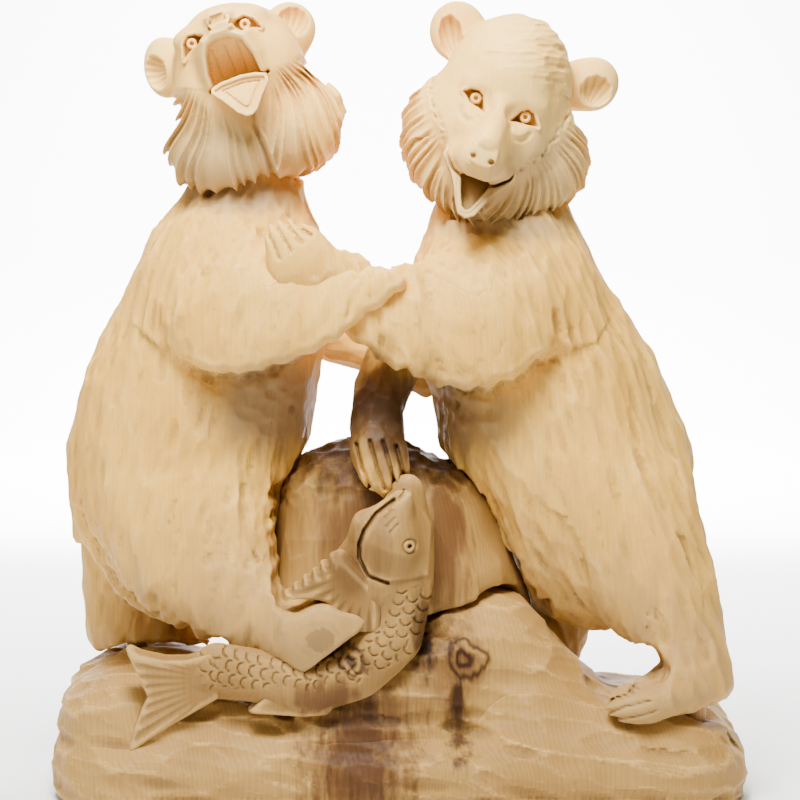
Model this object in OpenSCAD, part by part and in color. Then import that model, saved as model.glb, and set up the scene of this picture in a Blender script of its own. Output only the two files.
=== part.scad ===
// Two bears carved in pale pine, standing on a gouged base with a fish across a boulder.
// Frame: +Z up, the viewer stands at -Y, +X to the viewer's right, origin under the middle of the base.

/* [Base] */
// Width of the base, side to side
base_w = 376; // [370:1:384]
// Depth of the base, front to back
base_d = 192; // [180:1:204]
// Height of the base's plain block, below the carved ground
base_h = 34; // [28:1:38]
// Radius of the base's upright corners
base_corner = 52; // [40:1:60]

/* [Bears] */
// Girth of the trunks and legs against the drawn ones
girth = 1; // [0.97:0.01:1.03]
// Roaring bear's head, thrown back by this angle
roar_pitch = 45; // [40:1:50]
// Roaring bear's head, leaning to its right by this angle
roar_roll = -18; // [-22:1:-14]
// Laughing bear's head, bowed by this angle
laugh_pitch = -15; // [-20:1:-10]
// Laughing bear's head, leaning to its left by this angle
laugh_roll = 21; // [17:1:25]

/* [Fish] */
// How thick the fish is, front to back, against the drawn one
fish_depth = 1; // [0.9:0.02:1.1]

/* [Dowels] */
// Radius of the dowels that hold the heads and the feet
dowel_r = 6; // [4:0.5:7]
// Gap round a dowel, for the glue
glue_gap = 0.2; // [0.1:0.05:0.3]

/* [Hidden] */

trunk_fn = 20;
limb_fn = 14;
ear_fn = 14;
leg_fn = 16;
ring_fn = 18;
ground_fn = 16;
dowel_fn = 48;
ring_t = 0.4;

// A trunk's rings, from the neck down: [x, y, z], [half width, half depth].
roar_trunk = [
    [[-86, -6, 322], [30, 28]], [[-89, -5, 308], [45, 40]], [[-89, -4, 298], [50, 44]],
    [[-93, -3, 276], [56, 50]], [[-100, -1, 254], [62, 54]], [[-106, 1, 232], [65, 57]],
    [[-112, 2, 210], [67, 58]], [[-117, 3, 188], [68, 58]], [[-119, 4, 166], [65, 57]],
    [[-121, 5, 144], [60, 55]], [[-118, 6, 120], [54, 51]], [[-112, 6, 98], [42, 42]],
    [[-108, 6, 88], [28, 30]]];
laugh_trunk = [
    [[56, -6, 322], [32, 28]], [[57, -6, 309], [40, 37]], [[57, -5, 298], [46, 43]],
    [[56, -4, 282], [53, 48]], [[65, -2, 254], [62, 53]], [[76, 0, 232], [66, 56]],
    [[84, 2, 210], [67, 57]], [[91, 3, 186], [71, 58]], [[95, 4, 164], [70, 58]],
    [[101, 5, 142], [65, 56]], [[110, 6, 118], [58, 53]], [[117, 6, 98], [51, 46]],
    [[120, 6, 86], [36, 34]]];

// A station of a limb is [x, y, z], [half width, half depth, half height].
roar_near_arm = [[[-88, -38, 262], [34, 22, 34]], [[-78, -56, 240], [34, 15, 24]],
    [[-50, -66, 243], [24, 14, 22]], [[-28, -72, 258], [18, 12, 16]], [[-10, -78, 271], [13, 9, 12]]];
roar_far_arm = [[[-62, 24, 258], [20, 18, 20]], [[-28, 26, 240], [16, 15, 13]],
    [[0, 24, 228], [13, 12, 11]], [[15, 16, 221], [11, 12, 11]]];
laugh_near_arm = [[[66, -38, 262], [34, 22, 34]], [[48, -56, 238], [33, 15, 22]],
    [[8, -58, 248], [24, 13, 21]], [[-22, -60, 268], [13, 10, 12]], [[-40, -60, 280], [15, 9, 15]],
    [[-58, -58, 290], [12, 7, 14]]];
laugh_far_arm = [[[36, 14, 262], [22, 20, 22]], [[2, -6, 243], [18, 16, 18]],
    [[-13, -22, 210], [14, 15, 18]], [[-12, -42, 186], [16, 12, 16]], [[-3, -57, 168], [12, 8, 9]]];
roar_near_leg = [[[-116, -30, 158], [52, 28, 46]], [[-106, -40, 122], [46, 26, 30]],
    [[-76, -58, 94], [26, 18, 24]], [[-50, -69, 90], [24, 13, 26]], [[-30, -76, 103], [14, 8, 21]]];
roar_far_leg = [[[-140, 38, 140], [42, 28, 40]], [[-148, 42, 105], [34, 26, 32]],
    [[-150, 42, 74], [30, 26, 18]], [[-128, 36, 68], [26, 22, 12]]];
laugh_near_leg = [[[116, -30, 152], [46, 28, 48]], [[132, -38, 118], [40, 26, 32]],
    [[156, -46, 82], [21, 24, 26]], [[152, -58, 62], [29, 22, 15]], [[124, -74, 52], [18, 14, 10]]];
laugh_far_leg = [[[98, 34, 132], [42, 28, 40]], [[90, 44, 92], [26, 24, 30]],
    [[82, 48, 58], [20, 22, 24]], [[72, 34, 44], [18, 20, 12]]];

roar_head_at = [-84, -15, 375];
laugh_head_at = [54, -21, 368];
// The skull's outline down its middle, in the head's own frame: -Y is the face, +Z the crown.
skull = [[[0, 4, 10], [38, 38, 42]], [[0, -14, -2], [32, 26, 28]]];
roar_muzzle = [[[0, -26, -8], [24, 18, 20]], [[0, -46, -8], [18, 14, 13]], [[0, -60, -9], [13, 8, 9]]];
laugh_muzzle = [[[0, -28, -10], [23, 18, 18]], [[0, -46, -15], [17, 14, 13]], [[0, -58, -18], [12, 8, 9]]];
roar_jaw = [[[-83, -34, 362], [19, 14, 8]], [[-81, -56, 358], [14, 10, 6]], [[-80, -72, 356], [8, 6, 5]]];
laugh_jaw = [[[46, -46, 322], [16, 14, 13]], [[38, -60, 311], [12, 9, 9]]];
roar_ruff = [[[-108, -18, 344], [22, 28, 26]], [[-86, -24, 338], [28, 28, 22]],
    [[-57, -16, 360], [29, 27, 31]]];
laugh_ruff = [[[22, -16, 354], [24, 24, 33]], [[42, -26, 322], [28, 24, 23]],
    [[80, -16, 340], [24, 24, 34]]];
// An ear is its place, its lean about Y, its half width and half height.
roar_ears = [[[-129, -4, 386], -12, 10, 16], [[-60, 0, 407], 24, 14, 15]];
laugh_ears = [[[32, -4, 406], -26, 16, 16], [[104, -4, 382], 48, 13, 16]];
ear_t = 7;
roar_tail = [[[-172, 14, 152], [14, 14, 12]], [[-178, 16, 136], [9, 11, 11]]];
laugh_tail = [[[160, 10, 128], [14, 12, 14]], [[172, 12, 106], [6, 9, 12]]];

// Fish, from the nose down the belly to the tail's root.
fish_line = [[[4, -58, 166], [9, 8, 9]], [[0, -64, 142], [18, 12, 14]], [[2, -68, 116], [16, 13, 15]],
    [[-4, -74, 90], [16, 13, 15]], [[-24, -78, 70], [17, 12, 14]], [[-48, -80, 62], [17, 11, 13]],
    [[-74, -79, 70], [14, 10, 14]], [[-97, -77, 73], [10, 9, 15]], [[-112, -76, 66], [7, 7, 13]]];
tail_fan = [[-110, 80], [-142, 85], [-132, 59], [-141, 32], [-108, 52]];
belly_fin = [[-78, 53], [-68, 62], [-46, 60], [-44, 51]];
side_fin = [[-61, 114], [-50, 121], [-36, 138], [-30, 135], [-22, 124], [-48, 106]];
fin_t = 16;
belly_fin_t = 22;
fin_ease = 1.5;
// How far back each fin's rear face lies.
tail_back = -70;
side_back = -56;
belly_back = -68;

// The base's top edge is eased by this much, over this height.
top_ease = 7;
ease_h = 8;
ledge_top = 1;
// The carved ground: rounded ledges under the feet.
left_ledge = [[-139, -40, 42], [-139, 48, 44], [-72, -44, 30], [-62, 50, 32]];
left_ledge_r = [48, 44, 27];
right_ledge = [[146, -50, 30], [150, 42, 28], [70, -50, 38], [70, 46, 34]];
right_ledge_r = [34, 34, 22];
mound_line = [[[-40, -46, 42], [34, 40, 24]], [[10, -42, 56], [38, 42, 36]], [[50, -26, 74], [34, 40, 38]],
    [[84, -24, 52], [24, 42, 24]]];
rock_lumps = [[[-38, 2, 158], [30, 46, 29]], [[-14, 4, 156], [32, 50, 37]], [[18, 0, 142], [38, 50, 37]],
    [[-46, 0, 70], [30, 58, 30]], [[44, 0, 84], [32, 56, 34]]];

// The open mouths, as lumps to cut away.
roar_gape = [[[-86, -40, 378], [14, 12, 12]], [[-88, -74, 386], [13, 14, 13]],
    [[-84, -74, 372], [10, 14, 8]]];
laugh_gape = [[[44, -54, 322], [11, 10, 6]], [[38, -78, 316], [8, 10, 8]]];
// An ear's bowl against the ear itself, and where the brow meets the muzzle.
bowl_w = 0.62;
bowl_d = 0.9;
bowl_h = 0.64;
bowl_up = 1;
brow = 0.8;

neck_dowel_at = [[-81, -6, 306], [56, -6, 302]];
dowel_len = 44;
leg_dowel_at = [[-150, 44, 64], [-60, -62, 66], [158, -50, 50], [84, 46, 46]];

module blob(p, r, fn = limb_fn) translate(p) scale(r) sphere(1, $fn = fn);

module lump(s, fn = limb_fn) hull() for (b = s) blob(b[0], b[1], fn);

module chain(s, fn = limb_fn, grow = 1)
    for (i = [0 : len(s) - 2]) hull() {
        blob(s[i][0], s[i][1] * grow, fn);
        blob(s[i + 1][0], s[i + 1][1] * grow, fn);
    }

module ring(r) translate(r[0]) linear_extrude(ring_t) scale(r[1] * girth) circle(1, $fn = trunk_fn);

module fish() chain([for (s = fish_line) [s[0], [s[1][0], s[1][1] * fish_depth, s[1][2]]]]);

module stack(s)
    for (i = [0 : len(s) - 2]) hull() {
        ring(s[i]);
        ring(s[i + 1]);
    }

module head_frame(at, pitch, roll) translate(at) rotate([0, roll, 0]) rotate([-pitch, 0, 0]) children();

// Raw shapes, before their neighbours are cut out of them.

module footprint(inset = 0)
    offset(base_corner - inset) square([base_w - 2 * base_corner, base_d - 2 * base_corner], center = true);

module ground() {
    hull() {
        linear_extrude(base_h - ease_h) footprint();
        translate([0, 0, base_h - ledge_top]) linear_extrude(ledge_top) footprint(top_ease);
    }
    hull() for (p = left_ledge) blob(p, left_ledge_r, ground_fn);
    hull() for (p = right_ledge) blob(p, right_ledge_r, ground_fn);
}

module mound() chain(mound_line, ground_fn);

module rock() lump(rock_lumps, ring_fn);

module plank(outline, depth, back)
    translate([0, back, 0]) rotate([90, 0, 0]) linear_extrude(depth)
        offset(fin_ease) offset(-fin_ease) polygon(outline);

module ear(e) {
    translate(e[0]) rotate([0, e[1], 0]) difference() {
        scale([e[2], ear_t, e[3]]) sphere(1, $fn = ear_fn);
        translate([0, -ear_t, bowl_up])
            scale([e[2] * bowl_w, ear_t * bowl_d, e[3] * bowl_h]) sphere(1, $fn = ear_fn);
    }
}

module skull_of(at, pitch, roll, muzzle) head_frame(at, pitch, roll) {
    chain(skull, trunk_fn);
    hull() {
        blob(skull[1][0], skull[1][1] * brow);
        blob(muzzle[0][0], muzzle[0][1]);
    }
    chain(muzzle);
}

module roar_skull() skull_of(roar_head_at, roar_pitch, roar_roll, roar_muzzle);
module laugh_skull() skull_of(laugh_head_at, laugh_pitch, laugh_roll, laugh_muzzle);

module dowel(at, spare = 0)
    translate(at - [0, 0, dowel_len / 2]) cylinder(r = dowel_r + spare, h = dowel_len, $fn = dowel_fn);

module all_dowels() for (p = concat(neck_dowel_at, leg_dowel_at)) dowel(p, glue_gap);

// The pieces.

module base_block() color("burlywood") difference() {
    ground();
    all_dowels();
}
module base_mound() color("tan") difference() {
    mound();
    ground();
    all_dowels();
}
module boulder() color("peru") difference() {
    rock();
    mound();
    ground();
}

module fish_body() color("tan") difference() {
    fish();
    rock();
    mound();
    ground();
}
module fish_tail() color("burlywood") difference() {
    plank(tail_fan, fin_t, tail_back);
    fish();
    mound();
    ground();
}
module fish_side_fin() color("burlywood") difference() {
    plank(side_fin, fin_t, side_back);
    fish();
    rock();
    mound();
    ground();
    chain(roar_near_leg, leg_fn, girth);
}
module fish_belly_fin() color("burlywood") difference() {
    plank(belly_fin, belly_fin_t, belly_back);
    fish();
    mound();
    ground();
}

module roaring_trunk() color("wheat") difference() {
    stack(roar_trunk);
    rock();
    mound();
    ground();
    all_dowels();
}
module laughing_trunk() color("wheat") difference() {
    stack(laugh_trunk);
    rock();
    mound();
    ground();
    all_dowels();
}

module roaring_ruff() color("blanchedalmond") difference() {
    lump(roar_ruff, ring_fn);
    stack(roar_trunk);
    roar_skull();
    chain(roar_jaw);
    lump(roar_gape);
    all_dowels();
}
module laughing_ruff() color("blanchedalmond") difference() {
    lump(laugh_ruff, ring_fn);
    stack(laugh_trunk);
    laugh_skull();
    chain(laugh_jaw);
    lump(laugh_gape);
    all_dowels();
}
module roaring_head() color("antiquewhite") difference() {
    roar_skull();
    stack(roar_trunk);
    chain(roar_jaw);
    lump(roar_gape);
    all_dowels();
}
module laughing_head() color("antiquewhite") difference() {
    laugh_skull();
    stack(laugh_trunk);
    chain(laugh_jaw);
    lump(laugh_gape);
    all_dowels();
}
module roaring_jaw() color("bisque") difference() {
    chain(roar_jaw);
    lump(roar_gape);
}
module laughing_jaw() color("bisque") difference() {
    chain(laugh_jaw);
    lump(laugh_gape);
}
module roaring_left_ear() color("wheat") difference() {
    ear(roar_ears[0]);
    roar_skull();
}
module roaring_right_ear() color("wheat") difference() {
    ear(roar_ears[1]);
    roar_skull();
}
module laughing_left_ear() color("wheat") difference() {
    ear(laugh_ears[0]);
    laugh_skull();
}
module laughing_right_ear() color("wheat") difference() {
    ear(laugh_ears[1]);
    laugh_skull();
}

module laughing_near_arm() color("burlywood") difference() {
    chain(laugh_near_arm);
    stack(laugh_trunk);
    stack(roar_trunk);
}
module roaring_near_arm() color("burlywood") difference() {
    chain(roar_near_arm);
    stack(roar_trunk);
    stack(laugh_trunk);
    chain(laugh_near_arm);
}
module laughing_far_arm() color("tan") difference() {
    chain(laugh_far_arm);
    stack(laugh_trunk);
    chain(laugh_near_arm);
    chain(roar_near_arm);
    rock();
    fish();
}
module roaring_far_arm() color("tan") difference() {
    chain(roar_far_arm);
    stack(roar_trunk);
    stack(laugh_trunk);
    chain(laugh_far_arm);
}
module roaring_near_leg() color("burlywood") difference() {
    chain(roar_near_leg, leg_fn, girth);
    stack(roar_trunk);
    rock();
    mound();
    ground();
    fish();
    all_dowels();
}
module roaring_far_leg() color("tan") difference() {
    chain(roar_far_leg, leg_fn, girth);
    stack(roar_trunk);
    chain(roar_near_leg, leg_fn, girth);
    ground();
    rock();
    all_dowels();
}
module laughing_near_leg() color("burlywood") difference() {
    chain(laugh_near_leg, leg_fn, girth);
    stack(laugh_trunk);
    rock();
    mound();
    ground();
    all_dowels();
}
module laughing_far_leg() color("tan") difference() {
    chain(laugh_far_leg, leg_fn, girth);
    stack(laugh_trunk);
    chain(laugh_near_leg, leg_fn, girth);
    rock();
    mound();
    ground();
    all_dowels();
}
module roaring_tail() color("wheat") difference() {
    chain(roar_tail);
    stack(roar_trunk);
    chain(roar_far_leg, leg_fn, girth);
    chain(roar_near_leg, leg_fn, girth);
}
module laughing_tail() color("wheat") difference() {
    chain(laugh_tail);
    stack(laugh_trunk);
    chain(laugh_near_leg, leg_fn, girth);
    chain(laugh_far_leg, leg_fn, girth);
}
module neck_dowels() color("saddlebrown") for (p = neck_dowel_at) dowel(p);
module leg_dowels() color("saddlebrown") for (p = leg_dowel_at) dowel(p);

base_block();
base_mound();
boulder();
fish_body();
fish_tail();
fish_belly_fin();
fish_side_fin();
roaring_trunk();
roaring_head();
roaring_jaw();
roaring_ruff();
roaring_left_ear();
roaring_right_ear();
roaring_near_arm();
roaring_far_arm();
roaring_near_leg();
roaring_far_leg();
roaring_tail();
laughing_trunk();
laughing_head();
laughing_jaw();
laughing_ruff();
laughing_left_ear();
laughing_right_ear();
laughing_near_arm();
laughing_far_arm();
laughing_near_leg();
laughing_far_leg();
laughing_tail();
neck_dowels();
leg_dowels();
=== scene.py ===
import math
import time
import bpy
import numpy as np
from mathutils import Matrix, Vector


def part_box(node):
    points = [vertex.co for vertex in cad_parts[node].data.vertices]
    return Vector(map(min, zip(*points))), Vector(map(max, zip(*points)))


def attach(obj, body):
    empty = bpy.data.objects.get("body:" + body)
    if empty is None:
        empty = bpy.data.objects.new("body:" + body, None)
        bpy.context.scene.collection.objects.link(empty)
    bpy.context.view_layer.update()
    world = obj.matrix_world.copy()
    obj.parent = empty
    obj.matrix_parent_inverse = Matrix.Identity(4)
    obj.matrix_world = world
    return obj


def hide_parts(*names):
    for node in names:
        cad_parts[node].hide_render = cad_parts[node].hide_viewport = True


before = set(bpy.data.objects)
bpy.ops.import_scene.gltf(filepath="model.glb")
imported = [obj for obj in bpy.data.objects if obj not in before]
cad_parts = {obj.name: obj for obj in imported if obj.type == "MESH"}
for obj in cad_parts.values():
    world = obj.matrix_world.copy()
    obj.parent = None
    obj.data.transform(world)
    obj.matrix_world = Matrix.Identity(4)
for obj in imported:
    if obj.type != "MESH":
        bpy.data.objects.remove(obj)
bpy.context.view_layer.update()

import openvdb
from mathutils import Vector

started = time.time()
coarse = 1.0   # every grid step grows by this while trying things
chance = np.random.RandomState(21)
jitter = chance.rand(4096, 3).astype(np.float32)
mood = chance.rand(4096).astype(np.float32)


def say(stage):
    print(f"{time.time() - started:6.1f} s  {stage}")


# clay

class Clay:
    # a block of distances in millimetres, negative inside the wood
    def __init__(self, low, high, step):
        self.step = step * coarse
        self.low = np.array(low, float)
        self.count = [int((b - a) / self.step) + 2 for a, b in zip(low, high)]
        axes = [(a + self.step * np.arange(n)).astype(np.float32) for a, n in zip(self.low, self.count)]
        self.x, self.y, self.z = axes[0][:, None, None], axes[1][None, :, None], axes[2][None, None, :]
        self.d = np.full(self.count, 15, np.float32)

    def window(self, low, high):
        # the same clay through a smaller box, cut in place
        cuts = [slice(max(0, int((a - o) / self.step)), max(1, int((b - o) / self.step) + 2))
                for a, b, o in zip(low, high, self.low)]
        part = object.__new__(Clay)
        part.step = self.step
        part.x, part.y, part.z = self.x[cuts[0]], self.y[:, cuts[1]], self.z[:, :, cuts[2]]
        part.d = self.d[tuple(cuts)]
        return part

    def skin(self, reach=4.0):
        # grid points near the surface, with their places
        where = np.nonzero(np.abs(self.d) < reach)
        return where, self.x[where[0], 0, 0], self.y[0, where[1], 0], self.z[0, 0, where[2]]


def around(names, margin, step):
    # a block of clay big enough for these CAD nodes
    low = np.min([np.array(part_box(n)[0]) for n in names], 0) * 1000 - margin
    high = np.max([np.array(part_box(n)[1]) for n in names], 0) * 1000 + margin
    return Clay(low, high, step)


def rough(clay, names, band=14, close=0.0):
    # distances to the CAD solids; close fills the seams between them
    spots, corners, count = [], [], 0
    for name in names:
        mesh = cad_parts[name].data
        mesh.calc_loop_triangles()
        co = np.empty(len(mesh.vertices) * 3, np.float32)
        mesh.vertices.foreach_get("co", co)
        tris = np.empty(len(mesh.loop_triangles) * 3, np.int32)
        mesh.loop_triangles.foreach_get("vertices", tris)
        spots.append((co.reshape(-1, 3) * 1000 - clay.low) / clay.step)
        corners.append(tris.reshape(-1, 3) + count)
        count += len(mesh.vertices)
    width = band / clay.step
    grid = openvdb.FloatGrid.createLevelSetFromPolygons(
        np.concatenate(spots).astype(np.float32), triangles=np.concatenate(corners).astype(np.uint32),
        exBandWidth=width, inBandWidth=width)
    if close:
        shell, quads = grid.convertToQuads(close / clay.step)
        grid = openvdb.FloatGrid.createLevelSetFromPolygons(shell, quads=quads, exBandWidth=width,
                inBandWidth=width)
    out = np.empty(clay.count, np.float32)
    grid.copyToArray(out, ijk=(0, 0, 0))
    return out * clay.step + close


def soften(d, clay, radius):
    # two box blurs along each axis
    n = max(1, int(round(radius / clay.step)))
    for axis in range(3):
        for _ in range(2):
            padded = np.concatenate([np.repeat(d.take([0], axis), n + 1, axis), d,
                                     np.repeat(d.take([-1], axis), n, axis)], axis)
            total = np.cumsum(padded, axis, dtype=np.float64)
            size = d.shape[axis]
            top = total.take(range(2 * n + 1, 2 * n + 1 + size), axis)
            d = ((top - total.take(range(0, size), axis)) / (2 * n + 1)).astype(np.float32)
    return d


def join(a, b, soft):
    h = np.maximum(soft - np.abs(a - b), 0) / soft
    return np.minimum(a, b) - h * h * soft * 0.25


def cut(a, b, soft=0.6):
    # a with b taken away
    return -join(-a, b, soft)


def egg(x, y, z, middle, radii):
    a, b, c = (x - middle[0]) / radii[0], (y - middle[1]) / radii[1], (z - middle[2]) / radii[2]
    far = np.sqrt(a * a + b * b + c * c)
    slope = np.sqrt((a / radii[0]) ** 2 + (b / radii[1]) ** 2 + (c / radii[2]) ** 2) + 1e-6
    return far * (far - 1) / slope


def rod(x, y, z, a, b, ra, rb):
    ex, ey, ez = [q - p for p, q in zip(a, b)]
    wx, wy, wz = x - a[0], y - a[1], z - a[2]
    t = np.clip((wx * ex + wy * ey + wz * ez) / (ex * ex + ey * ey + ez * ez), 0, 1)
    return np.sqrt((wx - ex * t) ** 2 + (wy - ey * t) ** 2 + (wz - ez * t) ** 2) - (ra + (rb - ra) * t)


def outline(x, z, points):
    # distance to a closed outline in the front view, negative inside
    near, inside = 1e9, False
    for (ax, az), (bx, bz) in zip(points, points[1:] + points[:1]):
        ex, ez, wx, wz = bx - ax, bz - az, x - ax, z - az
        t = np.clip((wx * ex + wz * ez) / (ex * ex + ez * ez), 0, 1)
        near = np.minimum(near, (wx - ex * t) ** 2 + (wz - ez * t) ** 2)
        inside = inside ^ (((az > z) != (bz > z)) & (x < ex * wz / (ez if ez else 1e-9) + ax))
    return np.where(inside, -1, 1) * np.sqrt(near)


def strokes(x, z, lines):
    # distance in the front view to the nearest of these strokes
    near = np.full(np.broadcast(x, z).shape, 1e9, np.float32)
    for line in lines:
        for (ax, az), (bx, bz) in zip(line, line[1:]):
            ex, ez, wx, wz = bx - ax, bz - az, x - ax, z - az
            t = np.clip((wx * ex + wz * ez) / (ex * ex + ez * ez), 0, 1)
            near = np.minimum(near, (wx - ex * t) ** 2 + (wz - ez * t) ** 2)
    return np.sqrt(near)


def cells(u, v, w):
    # squared distance to the nearest of many scattered points, and which one it is
    iu, iv, iw = [np.floor(a).astype(np.int32) for a in (u, v, w)]
    best, which = np.full(u.shape, 9, np.float32), np.zeros(u.shape, np.int32)
    for a in (-1, 0, 1):
        for b in (-1, 0, 1):
            for c in (-1, 0, 1):
                key = ((iu + a) * 73856093 ^ (iv + b) * 19349663 ^ (iw + c) * 83492791) & 4095
                j = jitter[key]
                far = (iu + a + j[:, 0] - u) ** 2 + (iv + b + j[:, 1] - v) ** 2 + (iw + c + j[:, 2] - w) ** 2
                closer = far < best
                best, which = np.where(closer, far, best), np.where(closer, key, which)
    return best, which


def gouges(u, v, w, depth):
    # shallow scoops that meet in ridges
    near, which = cells(u, v, w)
    return depth * (0.5 + mood[which]) * (1 - near / 0.6)


def waves(x, y, z, size, seed=0):
    # a slow, smooth wobble between about -1 and 1
    k = 6.283 / size
    return (np.sin(k * (x + 0.31 * z) + seed) + np.sin(k * (0.83 * z - 0.4 * y) + 1.7 * seed + 2)
            + np.sin(k * (0.9 * y + 0.5 * x) + 2.3 * seed + 4)) / 3


def ramp(value, low, high):
    t = np.clip((value - low) / (high - low), 0, 1)
    return t * t * (3 - 2 * t)


lap, slip = 0.9, 0.4   # how far a piece runs on past a joint, and how deep it slips there


def shares(clay, names, band=14):
    # how far each CAD node's own share of the clay reaches
    own = np.stack([rough(clay, [n], band) for n in names])
    own += (np.abs(own) > band - 0.1) * 2.4 * np.arange(len(names))[:, None, None,
            None]   # first come wins far away
    order = np.partition(own, 1, axis=0)[:2]
    out = []
    for i in range(len(names)):
        others = np.where(own[i] <= order[0], order[1], order[0])
        out.append((own[i] - others) * 0.5 - lap)
    return out


def portion(d, share):
    # one node's part of the clay; past the joint it slips just under its neighbour
    return np.maximum(d + slip * ramp(share, -lap, 0), share)


def sunkenness(clay, reach=2.4):
    # positive on ridges, negative in hollows, from the clay against its own blur
    near = np.clip(clay.d, -3, 3)
    return soften(near, clay, reach) - near


def mainland(spots, quads):
    # only shells with a fair share of the faces stay; splinters go
    label = np.arange(len(spots))
    before = None
    while before is None or (label != before).any():
        before = label.copy()
        low = label[quads].min(1)
        for i in range(4):
            np.minimum.at(label, quads[:, i], low)
        label = label[label]
    shell = label[quads[:, 0]]
    keep = np.bincount(shell, minlength=len(spots))[shell] > 0.03 * len(quads)
    used, quads = np.unique(quads[keep], return_inverse=True)
    return spots[used], quads.reshape(-1, 4)


def settle(name, clay, d, replaced, material, hollow=None):
    # the clay's surface as a mesh in metres, standing for its CAD nodes
    grid = openvdb.FloatGrid(float(d.max()) + 1)
    padded = np.pad(d, 1, constant_values=clay.step)
    grid.copyFromArray(padded)
    spots, quads = grid.convertToQuads(0)
    spots, quads = mainland(spots, quads)
    spots = (spots - 1) * clay.step + clay.low
    a, b, c = [spots[quads[:, i]] for i in (0, 1, 2)]
    if (np.cross(b - a, c - a) * (a - spots.mean(0))).sum() < 0:
        quads = quads[:, ::-1]
    mesh = bpy.data.meshes.new(name)
    mesh.vertices.add(len(spots))
    mesh.vertices.foreach_set("co", (spots * 0.001).astype(np.float32).ravel())
    mesh.loops.add(len(quads) * 4)
    mesh.loops.foreach_set("vertex_index", quads.astype(np.int32).ravel())
    mesh.polygons.add(len(quads))
    mesh.polygons.foreach_set("loop_start", np.arange(0, len(quads) * 4, 4, dtype=np.int32))
    mesh.polygons.foreach_set("use_smooth", np.ones(len(quads), bool))
    mesh.update(calc_edges=True)
    mesh.validate()
    # how sunken each spot is, kept for the wood to read; the wood paints shade into the hollows and a
    # highlight onto the ridges from it
    if hollow is None:
        hollow = sunkenness(clay)
    at = np.clip(np.rint((spots - clay.low) / clay.step).astype(int), 0, np.array(d.shape) - 1)
    deep = np.clip(-hollow[at[:, 0], at[:, 1], at[:, 2]] / 0.8, -1, 1)
    mesh.attributes.new("sunken", "FLOAT", "POINT").data.foreach_set("value", deep.astype(np.float32))
    piece = bpy.data.objects.new(name, mesh)
    bpy.context.scene.collection.objects.link(piece)
    mesh.materials.append(material)
    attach(piece, "root")
    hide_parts(*replaced)
    say(f"{name}: {len(quads)} faces")
    return piece


# wood

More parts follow.
